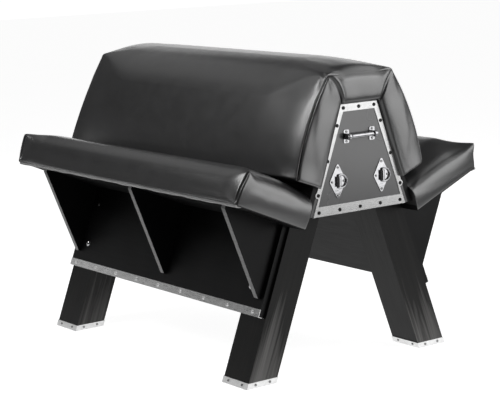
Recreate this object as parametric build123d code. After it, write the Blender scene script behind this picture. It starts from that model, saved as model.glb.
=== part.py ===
from build123d import *
import math
import os

# A padded trestle bench: a tall tapered box on four splayed legs, padded like a saddle, with a
# padded shelf along each side.
# +X runs along the bench towards its front end, +Y to its left, +Z up, and z = 0 is the floor.

# ---- driving dimensions, millimetres and degrees ----
LEAN = 20.75              # of the legs, side boards and skirts, from the vertical
FOOT_OUT = 333.0          # outer face of a leg at the floor, from the middle
BOX_END = 496.0           # outer face of an end panel
BOX_BOTTOM = 411.0
BOX_TOP = 680.0           # top of the end panels and side boards
BOARD = 15.0              # side, end, top, rib and shelf boards
FLOOR_BOARD = 12.0

LEG_ALONG = 100.0
LEG_THICK = 84.0
LEG_END = 448.0           # outer end face of a leg
LEG_TOP = 600.0           # the legs run up inside the box to here

CAP_WALL = 1.5
CAP_BASE = 2.0
CAP_HEIGHT = 15.0

SKIRT_THICK = 16.0
SKIRT_END = 440.0
SKIRT_BOTTOM = 168.0

SHELF_TILT = 23.0
SHELF_HEIGHT = 385.0      # underside of the shelf where it meets the leg's outer face
SHELF_OUT = 228.0         # underside, from that line to the outer corner
SHELF_THICK = 92.0
SHELF_END = 513.0
SHELF_WRAP = 6.0          # pad wrapped round the edges of the shelf board

PAD_END = 514.0
PAD_THICK = 60.0          # at its lower edge, square off the side board
PAD_BULGE = 14.0          # how far its sides swell beyond a straight line
PAD_SHOULDER = (102.0, 756.0)   # its upper corner, from the middle and from the floor
PAD_CROWN = 787.0
PAD_LOW = 486.0           # its lower edge on the side board

GUSSET_PLACES = (-414.0, 14.0, 420.0)
GUSSET_THICK = 15.0
GUSSET_REACH = 194.0      # along the shelf's underside
GUSSET_FOOT = 214.0       # height of its lower tip on the skirt
GUSSET_NOSE = 8.0

TRIM = 1.5                # sheet metal
TOP_TRIM = 18.0
SIDE_TRIM = 14.0
SIDE_TRIM_LOW = 7.0       # its width below the ears
SIDE_TRIM_STEP = 9.0      # how far its outer edge steps in below the ears
BOTTOM_TRIM = 23.0
EAR_HEIGHT = 463.0
EAR_INSIDE = 21.0         # ear's centre, inside the side board's outer face
EAR_RADIUS = 8.5
SKIRT_TRIM = 18.5
SKIRT_FOLD_GAP = 0.5      # between the strip's fold and the legs

RING_SIDE = 72.0          # lashing plates, from the middle
RING_HEIGHT = 491.0
PLATE = 2.0
PLATE_TALL = 93.0         # before its tips are rounded
PLATE_WIDE = 53.0
PLATE_CORNER = 4.0
WIRE = 2.25               # radius of the ring's wire
RING_LIFT = 2.6           # ring's hinge line above the face of its plate
RING_HALF = 16.0          # half the height of the D, on the wire's centre line
RING_STRAIGHT = 10.0
RING_CORNER = 3.0
BRIDGE_RADIUS = 6.5
BRIDGE_LONG = 25.0

BAR_SIDE = 42.0           # handle eyes, from the middle
BAR_HEIGHT = 600.0
BAR_LIFT = 13.0           # bar's axis above the end panel
BAR_JOURNAL = 4.0
BAR_GRIP = 5.5
EYE_RADIUS = 7.5
EYE_THICK = 6.0
BRACKET_TALL = 33.0
BRACKET_WIDE = 17.0
BRACKET_CORNER = 3.0
BAR_GAP = 0.4             # between an eye and the bar's shoulders
BAR_COLLAR = 3.0
BAR_TAPER = 1.5
RUNNING = 0.05            # radial clearance of a turning pin in its eye

# Screws: head radius, head height, shank radius and shank length.
TRIM_SCREW = (4.6, 1.9, 1.6, 11.0)
SKIRT_SCREW = (4.8, 2.3, 2.0, 13.0)
PLATE_SCREW = (3.2, 1.6, 1.6, 13.0)
CAP_SCREW = (3.4, 1.5, 1.4, 11.0)
TOP_SCREW_STEP = 50.0
BOTTOM_SCREW_STEP = 67.0
BOTTOM_SCREW_RISE = 9.0
SIDE_SCREW_HEIGHTS = (629.0, 544.0)
SKIRT_SCREW_STEP = 103.0
CAP_SCREW_STEP = 22.0     # from a leg's corner, and from the middle of its end face
BAR_SCREW_STEP = 12.0

# Coach bolts: head radius, dome height, shank radius and shank length.
UPPER_BOLT = (7.0, 3.5, 4.0, 76.0)
LOWER_BOLT = (9.0, 5.0, 4.0, 76.0)
BOLT_SIDE = 380.0
UPPER_BOLT_HEIGHT = 347.0
LOWER_BOLT_HEIGHT = 239.0

BOX_SCREW_HEIGHTS = (450.0, 560.0)
BOX_SCREW_RADIUS = 2.5
BOX_SCREW_LENGTH = 55.0
BOX_SCREW_HEAD = 5.0

SLOPE = math.tan(math.radians(LEAN))
LEAN_COS = math.cos(math.radians(LEAN))
LEAN_SIN = math.sin(math.radians(LEAN))
TILT_COS = math.cos(math.radians(SHELF_TILT))
TILT_SIN = math.sin(math.radians(SHELF_TILT))

os.makedirs("parts", exist_ok=True)


# ---- geometry helpers ----
def lean_y(z, out=0.0):
    """The y, on the left side, of the leaning plane `out` mm outside the legs' outer face."""
    return FOOT_OUT - z * SLOPE + out / LEAN_COS


def on_lean(z, out):
    """The point met by going `out` mm square off the leaning face from height z on it."""
    return lean_y(z) + out * LEAN_COS, z + out * LEAN_SIN


def shelf_point(along, above):
    """A point of the left shelf's section: `along` its underside and `above` it."""
    y = lean_y(SHELF_HEIGHT) + along * TILT_COS - above * TILT_SIN
    z = SHELF_HEIGHT + along * TILT_SIN + above * TILT_COS
    return y, z


def shelf_meets_lean(above, out=0.0):
    """Where a line parallel to the shelf's underside crosses the leaning plane at `out`."""
    y, z = shelf_point(0.0, above)
    along = (lean_y(z, out) - y) / (TILT_COS + SLOPE * TILT_SIN)
    return y + along * TILT_COS, z + along * TILT_SIN


def prism(section, x_from, x_to, side=1):
    """A section of (y, z) points, drawn for the left side, run along X; side -1 mirrors it."""
    outline = [(x_from, side * y, z) for y, z in section]
    face = make_face(Polyline(*outline, close=True))
    return extrude(face, amount=x_to - x_from, dir=(1, 0, 0))


def about_middle(section):
    """A symmetric section from the (y, z) points of its left half, listed from the bottom up."""
    return section + [(-y, z) for y, z in reversed(section)]


def front_or_rear(shape, end):
    """The front end's piece as it is, or the same piece turned round for the rear end."""
    return shape if end == 1 else shape.rotate(Axis.Z, 180)


def upright_rod(origin, direction, radius, length):
    """A rod from origin along direction."""
    rod = Cylinder(radius, length, align=(Align.CENTER, Align.CENTER, Align.MIN))
    return Plane(origin=origin, z_dir=direction).location * rod


def screw(sizes):
    """A pan-head screw, its seat at the origin and its head up +Z, with a cross recess."""
    head, height, shank, length = sizes
    dome = Cylinder(head, height, align=(Align.CENTER, Align.CENTER, Align.MIN))
    dome = fillet(dome.edges().group_by(Axis.Z)[-1], height * 0.7)
    slot = Box(head * 1.2, head * 0.28, height, align=(Align.CENTER, Align.CENTER, Align.MIN))
    recess = slot + slot.rotate(Axis.Z, 90)
    stem = Cylinder(shank, length, align=(Align.CENTER, Align.CENTER, Align.MAX))
    return dome + stem - Pos(0, 0, height * 0.45) * recess


def placed(template, seats):
    """Copies of a template at seats of (origin, outward normal)."""
    return [Plane(origin=o, z_dir=n).location * template for o, n in seats]


def holes(seats, sizes):
    """The clearance holes for screws at the same seats."""
    radius = sizes[2] + RUNNING
    depth = sizes[3] + RUNNING
    return [upright_rod(o, Vector(*n) * -1, radius, depth) for o, n in seats]


def cut(shape, tools):
    """A shape with every tool taken away that reaches its box."""
    box = shape.bounding_box()
    near = [t for t in tools if overlaps(box, t.bounding_box())]
    return shape - near if near else shape


def overlaps(a, b):
    return all(lo < hi for lo, hi in (
        (a.min.X, b.max.X), (b.min.X, a.max.X), (a.min.Y, b.max.Y),
        (b.min.Y, a.max.Y), (a.min.Z, b.max.Z), (b.min.Z, a.max.Z)))


def save(name, shapes):
    """Write one node: a single solid, or a group of separate solids."""
    group = shapes if isinstance(shapes, list) else [shapes]
    solids = [solid for shape in group for solid in shape.solids()]
    export_step(Compound(children=solids), f"parts/{name}.step")
    print(name, len(solids))


# ---- names of the places ----
ENDS = {"front": 1, "rear": -1}
SIDES = {"left": 1, "right": -1}
CORNERS = [(e, s) for e in ENDS for s in SIDES]


def leaning_normal(side):
    return 0.0, side * LEAN_COS, LEAN_SIN


# ---- where the screws and bolts go ----
def end_seats(height_out, places):
    """Seats on both end panels, `height_out` proud of them, at (y, z) places of the front end."""
    seats = []
    for end in ENDS.values():
        seats += [((end * (BOX_END + height_out), end * y, z), (end, 0, 0)) for y, z in places]
    return seats


def trim_screw_places():
    side_screws = [(lean_y(z, -BOARD - SIDE_TRIM / 2), z) for z in SIDE_SCREW_HEIGHTS]
    side_screws.append((lean_y(EAR_HEIGHT, -EAR_INSIDE), EAR_HEIGHT))
    places = [(step * TOP_SCREW_STEP, BOX_TOP - TOP_TRIM / 2) for step in (-1, 0, 1)]
    places += [(side * y, z) for y, z in side_screws for side in (1, -1)]
    places += [(step * BOTTOM_SCREW_STEP, BOX_BOTTOM + BOTTOM_SCREW_RISE) for step in range(-2, 3)]
    return places


def skirt_screw_seats():
    seats = []
    for side in SIDES.values():
        y, z = on_lean(SKIRT_BOTTOM, SKIRT_THICK + TRIM)
        y -= SKIRT_TRIM / 2 * LEAN_SIN
        z += SKIRT_TRIM / 2 * LEAN_COS
        for step in range(-4, 5):
            seats.append(((step * SKIRT_SCREW_STEP, side * y, z), leaning_normal(side)))
    return seats


def cap_screw_seats():
    """Two screws on each of the four faces of each foot cap."""
    seats = []
    height = CAP_HEIGHT * 0.55
    middle = lean_y(height) - LEG_THICK / LEAN_COS / 2
    for end in (1, -1):
        for side in (1, -1):
            for x in (LEG_END - CAP_SCREW_STEP, LEG_END - LEG_ALONG + CAP_SCREW_STEP):
                outer = (end * x, side * lean_y(height, CAP_WALL), height)
                inner = (end * x, side * lean_y(height, -LEG_THICK - CAP_WALL), height)
                nx, ny, nz = leaning_normal(side)
                seats += [(outer, (nx, ny, nz)), (inner, (-nx, -ny, -nz))]
            for step in (-CAP_SCREW_STEP, CAP_SCREW_STEP):
                y = side * (middle + step)
                seats.append(((end * (LEG_END + CAP_WALL), y, height), (end, 0, 0)))
                near = LEG_END - LEG_ALONG - CAP_WALL
                seats.append(((end * near, y, height), (-end, 0, 0)))
    return seats


PLATE_TIPS = ((0.0, 35.0), (0.0, -35.0), (19.0, 0.0), (-19.0, 0.0))
RING_SCREWS = end_seats(PLATE, [(side * RING_SIDE + y, RING_HEIGHT + z)
                                for side in (1, -1) for y, z in PLATE_TIPS])
BAR_SCREWS = end_seats(PLATE, [(side * BAR_SIDE, BAR_HEIGHT + step)
                               for side in (1, -1) for step in (-BAR_SCREW_STEP, BAR_SCREW_STEP)])
TRIM_SCREWS = end_seats(TRIM, trim_screw_places())
SKIRT_SCREWS = skirt_screw_seats()
CAP_SCREWS = cap_screw_seats()
END_HOLES = holes(RING_SCREWS, PLATE_SCREW) + holes(BAR_SCREWS, PLATE_SCREW)
END_HOLES += holes(TRIM_SCREWS, TRIM_SCREW)
SKIRT_HOLES = holes(SKIRT_SCREWS, SKIRT_SCREW)
CAP_HOLES = holes(CAP_SCREWS, CAP_SCREW)


def bolt_seats(height):
    """Coach bolts through a skirt into its legs at one height, seated on the skirt's outer face."""
    y = lean_y(height, SKIRT_THICK)
    return [((end * BOLT_SIDE, side * y, height), leaning_normal(side))
            for side in SIDES.values() for end in ENDS.values()]


def box_screw_seats():
    """Countersunk screws through a side board into the top of each leg, under the pad."""
    seats = []
    for side in SIDES.values():
        for end in ENDS.values():
            for height in BOX_SCREW_HEIGHTS:
                place = (end * (LEG_END - LEG_ALONG / 2), side * lean_y(height), height)
                seats.append((place, leaning_normal(side)))
    return seats


UPPER_BOLTS = bolt_seats(UPPER_BOLT_HEIGHT)
LOWER_BOLTS = bolt_seats(LOWER_BOLT_HEIGHT)
BOLT_HOLES = holes(UPPER_BOLTS, UPPER_BOLT) + holes(LOWER_BOLTS, LOWER_BOLT)
BOX_SCREWS = box_screw_seats()


def box_screw(extra=0.0):
    """A countersunk screw, flush at the origin, pointing down -Z; extra makes its hole."""
    stem = Cylinder(BOX_SCREW_RADIUS + extra, BOX_SCREW_LENGTH + extra,
                    align=(Align.CENTER, Align.CENTER, Align.MAX))
    sink = BOX_SCREW_HEAD - BOX_SCREW_RADIUS
    head = Cone(BOX_SCREW_RADIUS + extra, BOX_SCREW_HEAD + extra, sink,
                align=(Align.CENTER, Align.CENTER, Align.MAX))
    return stem + head


# ---- legs and foot caps ----
def leg_section():
    inner = -LEG_THICK
    return [(lean_y(CAP_BASE), CAP_BASE), (lean_y(BOX_BOTTOM), BOX_BOTTOM),
            (lean_y(BOX_BOTTOM, -BOARD), BOX_BOTTOM), (lean_y(LEG_TOP, -BOARD), LEG_TOP),
            (lean_y(LEG_TOP, inner), LEG_TOP), (lean_y(CAP_BASE, inner), CAP_BASE)]


def leg_span(end):
    near, far = LEG_END - LEG_ALONG, LEG_END
    return (near, far) if end == 1 else (-far, -near)


def plain_leg(end, side):
    start, stop = leg_span(end)
    return prism(leg_section(), start, stop, side)


def leg(end, side):
    drilled = BOLT_HOLES + CAP_HOLES + placed(box_screw(RUNNING), BOX_SCREWS)
    return cut(plain_leg(end, side), drilled)


def foot_cap(end, side):
    start, stop = leg_span(end)
    outer, inner = CAP_WALL, -LEG_THICK - CAP_WALL
    section = [(lean_y(0, outer), 0), (lean_y(CAP_HEIGHT, outer), CAP_HEIGHT),
               (lean_y(CAP_HEIGHT, inner), CAP_HEIGHT), (lean_y(0, inner), 0)]
    cap = prism(section, start - CAP_WALL, stop + CAP_WALL, side)
    return cut(cap - plain_leg(end, side), CAP_HOLES)


# ---- the box ----
def side_board(side):
    section = [(lean_y(BOX_BOTTOM), BOX_BOTTOM), (lean_y(BOX_TOP), BOX_TOP),
               (lean_y(BOX_TOP, -BOARD), BOX_TOP), (lean_y(BOX_BOTTOM, -BOARD), BOX_BOTTOM)]
    board = prism(section, -BOX_END, BOX_END, side)
    return cut(board, END_HOLES + placed(box_screw(RUNNING), BOX_SCREWS))


def cross_section(bottom, top, inset):
    """The tapered section between the side boards, or between planes `inset` inside them."""
    return about_middle([(lean_y(bottom, -inset), bottom), (lean_y(top, -inset), top)])


def end_panel(end):
    panel = prism(cross_section(BOX_BOTTOM, BOX_TOP, BOARD), BOX_END - BOARD, BOX_END)
    return cut(front_or_rear(panel, end), END_HOLES)


def top_board():
    return prism(cross_section(BOX_TOP, BOX_TOP + BOARD, 0.0), -BOX_END, BOX_END)


def middle_rib():
    low = BOX_BOTTOM + FLOOR_BOARD
    return prism(cross_section(low, BOX_TOP, BOARD), -BOARD / 2, BOARD / 2)


def box_floor():
    end = BOX_END - BOARD
    board = prism(cross_section(BOX_BOTTOM, BOX_BOTTOM + FLOOR_BOARD, BOARD), -end, end)
    return board - [plain_leg(ENDS[e], SIDES[s]) for e, s in CORNERS]


# ---- soft parts ----
def pushed_out(a, b, bulge):
    """The middle of the line from a up to b, moved `bulge` mm square off it, away from the box."""
    length = math.dist(a, b)
    run, rise = (b[0] - a[0]) / length, (b[1] - a[1]) / length
    return (a[0] + b[0]) / 2 + bulge * rise, (a[1] + b[1]) / 2 - bulge * run


def pad_slice(x_from, x_to, inset):
    """A length of the saddle pad, whose inside lies `inset` mm inside the boards' outer faces."""
    foot_out, shoulder = on_lean(PAD_LOW, PAD_THICK), PAD_SHOULDER
    middle = pushed_out(foot_out, shoulder, PAD_BULGE)
    top = BOX_TOP if inset else BOX_TOP + BOARD
    foot_in, corner_in = on_lean(PAD_LOW, -inset), (lean_y(top, -inset), top)

    def at(point, side=1):
        return x_from, side * point[0], point[1]

    outline = Line(at(foot_in), at(foot_out)) + ThreePointArc(at(foot_out), at(middle), at(shoulder))
    outline += ThreePointArc(at(shoulder), (x_from, 0, PAD_CROWN), at(shoulder, -1))
    outline += ThreePointArc(at(shoulder, -1), at(middle, -1), at(foot_out, -1))
    outline += Polyline(at(foot_out, -1), at(foot_in, -1), at(corner_in, -1), at(corner_in), at(foot_in))
    return extrude(make_face(outline), amount=x_to - x_from, dir=(1, 0, 0))


def saddle_pad():
    """Foam and cover over the box, with a lip that closes over the board ends at each end."""
    pad = pad_slice(-BOX_END, BOX_END, 0.0)
    pad += pad_slice(BOX_END, PAD_END, BOARD)
    return pad + pad_slice(-PAD_END, -BOX_END, BOARD)


def shelf_board(side):
    section = [shelf_meets_lean(0.0), shelf_point(SHELF_OUT - SHELF_WRAP, 0.0),
               shelf_point(SHELF_OUT - SHELF_WRAP, BOARD), shelf_meets_lean(BOARD)]
    end = SHELF_END - SHELF_WRAP
    return prism(section, -end, end, side)


def shelf_pad(side):
    section = [shelf_meets_lean(0.0), shelf_point(SHELF_OUT, 0.0),
               shelf_point(SHELF_OUT, SHELF_THICK), shelf_meets_lean(SHELF_THICK)]
    return prism(section, -SHELF_END, SHELF_END, side) - shelf_board(side)


# ---- skirts and gussets ----
def skirt(side):
    section = [(lean_y(SKIRT_BOTTOM), SKIRT_BOTTOM), on_lean(SKIRT_BOTTOM, SKIRT_THICK),
               shelf_meets_lean(0.0, SKIRT_THICK), shelf_meets_lean(0.0)]
    return cut(prism(section, -SKIRT_END, SKIRT_END, side), BOLT_HOLES + SKIRT_HOLES)


def skirt_trim(side):
    """A strip along the skirt's foot, folded under its lower edge."""
    def at(up, out):
        y, z = on_lean(SKIRT_BOTTOM, out)
        return y - up * LEAN_SIN, z + up * LEAN_COS

    face, proud = SKIRT_THICK, SKIRT_THICK + TRIM
    section = [at(-TRIM, SKIRT_FOLD_GAP), at(-TRIM, proud), at(SKIRT_TRIM, proud),
               at(SKIRT_TRIM, face), at(0, face), at(0, SKIRT_FOLD_GAP)]
    return cut(prism(section, -SKIRT_END, SKIRT_END, side), SKIRT_HOLES)


def gusset(place, side):
    foot = on_lean(GUSSET_FOOT - SKIRT_THICK * LEAN_SIN, SKIRT_THICK)
    foot_nose = (foot[0] + GUSSET_NOSE * LEAN_COS, foot[1] + GUSSET_NOSE * LEAN_SIN)
    section = [shelf_meets_lean(0.0, SKIRT_THICK), foot, foot_nose,
               shelf_point(GUSSET_REACH, -GUSSET_NOSE), shelf_point(GUSSET_REACH, 0.0)]
    return prism(section, place - GUSSET_THICK / 2, place + GUSSET_THICK / 2, side)


# ---- metal edging of the end panels ----
def end_trim(section, end):
    return cut(front_or_rear(prism(section, BOX_END, BOX_END + TRIM), end), END_HOLES)


def top_trim(end):
    return end_trim(cross_section(BOX_TOP - TOP_TRIM, BOX_TOP, BOARD), end)


def side_trim(end, side):
    """A strip down the panel's edge that ends in a screwed ear and runs on below it, narrower."""
    low, high = BOX_BOTTOM + BOTTOM_TRIM, BOX_TOP - TOP_TRIM
    edge, wide = -BOARD, -BOARD - SIDE_TRIM
    step_out = -BOARD - SIDE_TRIM_STEP
    step_in = step_out - SIDE_TRIM_LOW
    section = [(lean_y(low, step_out), low), (lean_y(EAR_HEIGHT, step_out), EAR_HEIGHT),
               (lean_y(EAR_HEIGHT, edge), EAR_HEIGHT), (lean_y(high, edge), high),
               (lean_y(high, wide), high), (lean_y(EAR_HEIGHT, wide), EAR_HEIGHT),
               (lean_y(low, step_in), low)]
    turned = side * end
    strip = prism(section, BOX_END, BOX_END + TRIM, turned)
    middle = (BOX_END, turned * lean_y(EAR_HEIGHT, -EAR_INSIDE), EAR_HEIGHT)
    strip += upright_rod(middle, (1, 0, 0), EAR_RADIUS, TRIM)
    return cut(front_or_rear(strip, end), END_HOLES)


def bottom_trim(end):
    """A strip along the panel's foot, folded under its lower edge."""
    inset = BOARD + SIDE_TRIM_STEP
    upright = cross_section(BOX_BOTTOM, BOX_BOTTOM + BOTTOM_TRIM, inset)
    turned_in = cross_section(BOX_BOTTOM - TRIM, BOX_BOTTOM, inset)
    strip = prism(upright, BOX_END, BOX_END + TRIM)
    fold = prism(turned_in, BOX_END - BOARD, BOX_END + TRIM)
    return cut(front_or_rear(strip + fold, end), END_HOLES)


# ---- lashing rings ----
HINGE_X = BOX_END + PLATE + RING_LIFT


def ring_plate(end, side):
    """A diamond plate with a bridge over the straight bar of its ring."""
    turned = side * end
    tall, wide = PLATE_TALL / 2, PLATE_WIDE / 2
    outline = Polyline((0, tall), (wide, 0), (0, -tall), (-wide, 0), close=True)
    diamond = fillet(make_face(outline).vertices(), PLATE_CORNER)
    centre = (BOX_END, turned * RING_SIDE, RING_HEIGHT)
    face_plane = Plane(origin=centre, x_dir=(0, 1, 0), z_dir=(1, 0, 0))
    plate = extrude(face_plane * diamond, amount=PLATE, dir=(1, 0, 0))
    low = (HINGE_X, turned * RING_SIDE, RING_HEIGHT - BRIDGE_LONG / 2)
    bridge = upright_rod(low, (0, 0, 1), BRIDGE_RADIUS, BRIDGE_LONG)
    web = Box(RING_LIFT, 2 * BRIDGE_RADIUS, BRIDGE_LONG)
    bridge += Pos(BOX_END + PLATE + RING_LIFT / 2, turned * RING_SIDE, RING_HEIGHT) * web
    trimming = Box(BRIDGE_RADIUS * 2, BRIDGE_RADIUS * 4, BRIDGE_LONG * 2)
    bridge -= Pos(BOX_END + PLATE - BRIDGE_RADIUS, turned * RING_SIDE, RING_HEIGHT) * trimming
    piece = plate + bridge - upright_rod(low, (0, 0, 1), WIRE + RUNNING, BRIDGE_LONG)
    return cut(front_or_rear(piece, end), END_HOLES)


def d_ring(end, side):
    """A closed D of round wire, lying flat towards the left at the front end."""
    turned = side * end
    x, y, z = HINGE_X, turned * RING_SIDE, RING_HEIGHT
    near, far = y + RING_CORNER, y + RING_STRAIGHT
    quarter = RING_CORNER * (1 - math.sqrt(0.5))
    path = Line((x, y, z - RING_HALF + RING_CORNER), (x, y, z + RING_HALF - RING_CORNER))
    path += ThreePointArc((x, y, z + RING_HALF - RING_CORNER),
                          (x, y + quarter, z + RING_HALF - quarter), (x, near, z + RING_HALF))
    path += Line((x, near, z + RING_HALF), (x, far, z + RING_HALF))
    path += ThreePointArc((x, far, z + RING_HALF), (x, far + RING_HALF, z), (x, far, z - RING_HALF))
    path += Line((x, far, z - RING_HALF), (x, near, z - RING_HALF))
    path += ThreePointArc((x, near, z - RING_HALF), (x, y + quarter, z - RING_HALF + quarter),
                          (x, y, z - RING_HALF + RING_CORNER))
    start = Plane(origin=(x, y, z - RING_HALF + RING_CORNER), z_dir=(0, 0, 1))
    return front_or_rear(sweep(start * Circle(WIRE), path=path), end)


# ---- handles ----
BAR_X = BOX_END + BAR_LIFT


def handle_bracket(end, side):
    """A plate with an eye that stands out to carry one end of the handle bar."""
    y = side * BAR_SIDE
    plate = Box(PLATE, BRACKET_WIDE, BRACKET_TALL)
    plate = fillet(plate.edges().filter_by(Axis.X), BRACKET_CORNER)
    piece = Pos(BOX_END + PLATE / 2, y, BAR_HEIGHT) * plate
    web = Box(BAR_LIFT - PLATE, EYE_THICK, 2 * EYE_RADIUS)
    piece += Pos(BOX_END + PLATE + (BAR_LIFT - PLATE) / 2, y, BAR_HEIGHT) * web
    start = (BAR_X, y - EYE_THICK / 2, BAR_HEIGHT)
    piece += upright_rod(start, (0, 1, 0), EYE_RADIUS, EYE_THICK)
    piece -= upright_rod(start, (0, 1, 0), BAR_JOURNAL + RUNNING, EYE_THICK)
    return cut(front_or_rear(piece, end), END_HOLES)


def handle_bar(end):
    """A straight bar: a thick grip, thin journals in the eyes, and a collar at each end."""
    eye_in = BAR_SIDE - EYE_THICK / 2 - BAR_GAP
    eye_out = BAR_SIDE + EYE_THICK / 2 + BAR_GAP
    tip = eye_out + BAR_COLLAR
    half = [(0, 0), (BAR_GRIP, 0), (BAR_GRIP, eye_in - BAR_COLLAR - BAR_TAPER),
            (BAR_JOURNAL, eye_in - BAR_COLLAR), (BAR_JOURNAL, eye_out), (BAR_GRIP, eye_out),
            (BAR_GRIP, tip), (0, tip)]
    profile = make_face(Polyline(*half, close=True))
    rod = revolve(profile, axis=Axis.Y)
    rod += mirror(rod, about=Plane.XZ)
    return front_or_rear(Pos(BAR_X, 0, BAR_HEIGHT) * rod, end)


# ---- bolts ----
def coach_bolt(sizes):
    """A domed head on a long shank, seated at the origin."""
    head, dome, shank, length = sizes
    ball = (head ** 2 + dome ** 2) / (2 * dome)
    half_way = (math.sqrt(ball ** 2 - (ball - dome / 2) ** 2), dome / 2)
    arc = ThreePointArc((head, 0), half_way, (0, dome))
    outline = arc + Polyline((0, dome), (0, -length), (shank, -length), (shank, 0), (head, 0))
    return revolve(Plane.XZ * make_face(outline), axis=Axis.Z)


# ---- write every piece ----
for end_name, side_name in CORNERS:
    end, side = ENDS[end_name], SIDES[side_name]
    corner = f"{end_name}_{side_name}"
    save(f"leg_{corner}", leg(end, side))
    save(f"foot_cap_{corner}", foot_cap(end, side))
    save(f"{end_name}_trim_{side_name}", side_trim(end, side))
    save(f"ring_plate_{corner}", ring_plate(end, side))
    save(f"d_ring_{corner}", d_ring(end, side))

for side_name, side in SIDES.items():
    save(f"side_board_{side_name}", side_board(side))
    save(f"skirt_{side_name}", skirt(side))
    save(f"skirt_trim_{side_name}", skirt_trim(side))
    save(f"shelf_board_{side_name}", shelf_board(side))
    save(f"shelf_pad_{side_name}", shelf_pad(side))
    for place_name, place in zip(("rear", "middle", "front"), GUSSET_PLACES):
        save(f"gusset_{place_name}_{side_name}", gusset(place, side))

for end_name, end in ENDS.items():
    save(f"{end_name}_panel", end_panel(end))
    save(f"{end_name}_trim_top", top_trim(end))
    save(f"{end_name}_trim_bottom", bottom_trim(end))
    save(f"{end_name}_handle_brackets", [handle_bracket(end, side) for side in SIDES.values()])
    save(f"{end_name}_handle_bar", handle_bar(end))

save("top_board", top_board())
save("middle_rib", middle_rib())
save("box_floor", box_floor())
save("saddle_pad", saddle_pad())

save("trim_screws", placed(screw(TRIM_SCREW), TRIM_SCREWS))
save("ring_plate_screws", placed(screw(PLATE_SCREW), RING_SCREWS))
save("handle_screws", placed(screw(PLATE_SCREW), BAR_SCREWS))
save("skirt_trim_screws", placed(screw(SKIRT_SCREW), SKIRT_SCREWS))
save("foot_cap_screws", placed(screw(CAP_SCREW), CAP_SCREWS))
save("upper_leg_bolts", placed(coach_bolt(UPPER_BOLT), UPPER_BOLTS))
save("lower_leg_bolts", placed(coach_bolt(LOWER_BOLT), LOWER_BOLTS))
save("box_screws", placed(box_screw(), BOX_SCREWS))
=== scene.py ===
import math
from collections import namedtuple

import bmesh
import bpy
import numpy as np
from mathutils import Matrix, Vector

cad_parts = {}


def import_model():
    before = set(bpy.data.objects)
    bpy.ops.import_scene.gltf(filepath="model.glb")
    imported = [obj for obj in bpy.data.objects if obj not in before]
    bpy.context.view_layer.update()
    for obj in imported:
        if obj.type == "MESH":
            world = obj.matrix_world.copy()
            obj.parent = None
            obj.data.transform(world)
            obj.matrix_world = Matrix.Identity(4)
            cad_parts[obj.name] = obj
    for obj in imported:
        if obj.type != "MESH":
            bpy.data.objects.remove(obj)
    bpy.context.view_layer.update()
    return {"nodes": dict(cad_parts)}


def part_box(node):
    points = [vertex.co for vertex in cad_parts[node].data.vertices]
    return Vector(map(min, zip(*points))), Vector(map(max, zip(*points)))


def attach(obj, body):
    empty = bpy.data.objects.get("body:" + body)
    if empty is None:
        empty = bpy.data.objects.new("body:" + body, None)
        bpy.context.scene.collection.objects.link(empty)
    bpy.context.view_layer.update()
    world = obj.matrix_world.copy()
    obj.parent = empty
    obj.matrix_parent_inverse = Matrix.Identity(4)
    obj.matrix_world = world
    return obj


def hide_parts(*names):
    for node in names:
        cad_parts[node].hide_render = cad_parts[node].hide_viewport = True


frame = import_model()

# ---- driving dimensions, metres and radians ----
LEAN = math.radians(20.75)        # side boards and legs, from the vertical
TILT = math.radians(23.0)         # shelves, from the horizontal
BOARD = 0.015                     # thickness of the side boards

# The saddle pad's section.
SADDLE_THICK = 0.060              # padding square off the side board, at its lower edge
SADDLE_LOW = 0.486                # that edge's height on the board
SHOULDER = np.array([0.102, 0.756])
SIDE_BULGE = 0.014                # of the saddle's sides beyond a straight line
END_CROWN = 0.768                 # the saddle's top where the cover is pulled in at its ends
END_PUSH = 0.004                  # the end sections stand this far outside the plain outline
REAR_FOOT = 0.022                 # how much thicker the rear end's padding is at its lower edge
REAR_BULGE = 0.006
FULLER = 0.014                    # how much fuller the padding is away from its ends
SOFT_RISE = np.array([0.012, 0.012])             # how far out and up the shoulder goes, along the
FULL_RISE = np.array([0.006, 0.007])             # middle and nearer the ends
SHOULDER_SOFT = 0.080             # the shoulders' rounding, cut back each way, along the middle
SHOULDER_TIGHT = 0.007            # and at the ends
INNER_CORNER = 0.004              # the same of the boards' corner under the padding

# How the section changes along the saddle.
FULL_FROM = 0.075                 # how far from an end the sides are full
TOP_FULL_FROM = {"front": 0.20, "rear": 0.10}    # and the crown
TOP_FROM, TOP_BLEND = 0.70, 0.06  # from this height, over this much, the crown's rule takes over
CORNER_RUN = 0.20                 # over this length the shoulders go from tight to soft

# The saddle's end faces.
SEAM_ROUND = 0.007                # edge between a side and an end face
TOP_ROUND = 0.042                 # the same edge along the top
CROWN_HALF, CROWN_BLEND = 0.105, 0.05            # half width of the top, and how softly it begins
ARM_LOW, ARM_RISE = 0.50, 0.22    # height of the end faces' feet, and how far the arms rise
SEAM_DEPTH = 0.0030
SEAM_HALF = 0.0022
END_PILLOW = 0.006                # swelling of an end face between its edges
INNER_FALL = (0.002, 0.003)       # how far its inner edge lies back, and how much more at the top
INNER_POWER, OUTER_POWER = 1.5, 1.2              # how sharply it falls to its inner and outer edge
PILLOW_REACH = 0.040              # how far in from its end a face follows the end's swelling
LIP_ROUND = (0.006, 0.012)        # the inner edge of an end face, at the foot and at the top
# The mitred fold on the left (1) and on the right (-1): depth at the inner corner and at the outer
# one, half width, and how far the fold beside it stands up.
Mitre = namedtuple("Mitre", "deep_in deep_out half lap")
MITRES = {1: Mitre(0.0045, 0.0015, 0.0060, 0.0010), -1: Mitre(0.0100, 0.0040, 0.0035, 0.0030)}
MITRE_BOW = 0.009                 # how far a mitre bows up from a straight line
LAP_BESIDE, LAP_HALF = 0.012, 0.009              # where the fold beside it is, and its half width
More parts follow.
